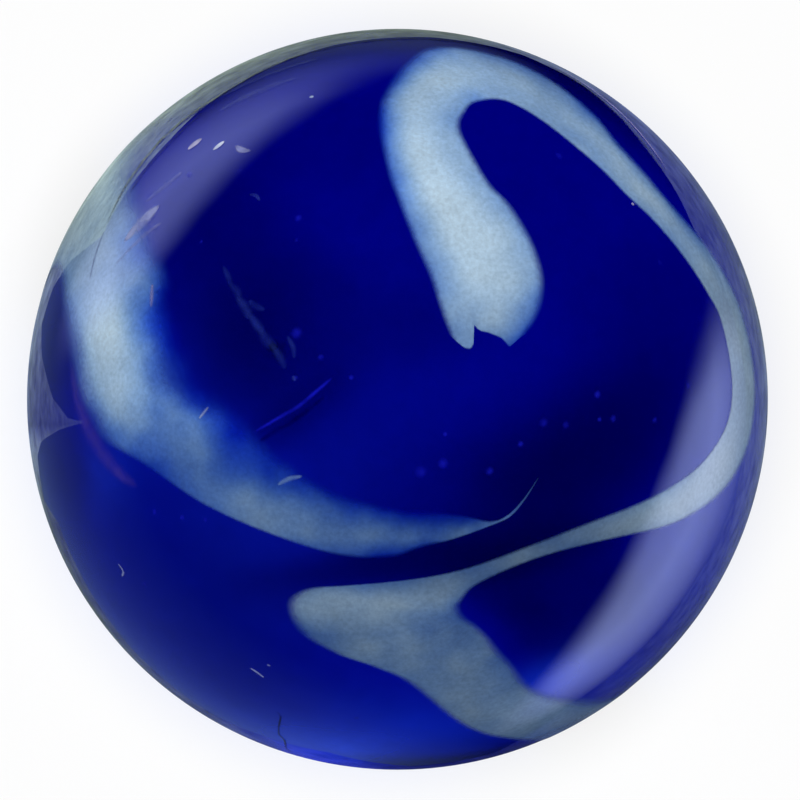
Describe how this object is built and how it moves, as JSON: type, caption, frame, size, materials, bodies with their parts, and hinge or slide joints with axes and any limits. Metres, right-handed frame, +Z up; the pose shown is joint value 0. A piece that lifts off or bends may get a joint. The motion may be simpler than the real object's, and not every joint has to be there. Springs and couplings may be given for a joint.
{
  "type": "glass marble",
  "caption": "Solid glass ball, clear cobalt blue with one folded ribbon of opaque white glass fused flush into its skin; it rolls on any hard surface.",
  "frame": {"origin": "centre of the ball", "axes": "+Z up through the middle of the side that shows the whole hook of the ribbon, +Y towards the top of the hook, +X towards the ribbon's long arm"},
  "size_m": [0.016, 0.016, 0.016],
  "materials": {
    "cobalt_glass": "clear, fire-polished gloss",
    "opal_glass": "opaque white, polished flush with the blue"
  },
  "bodies": {
    "root": {"blue_glass": "cobalt_glass", "white_swirl": "opal_glass"}
  },
  "joints": []
}
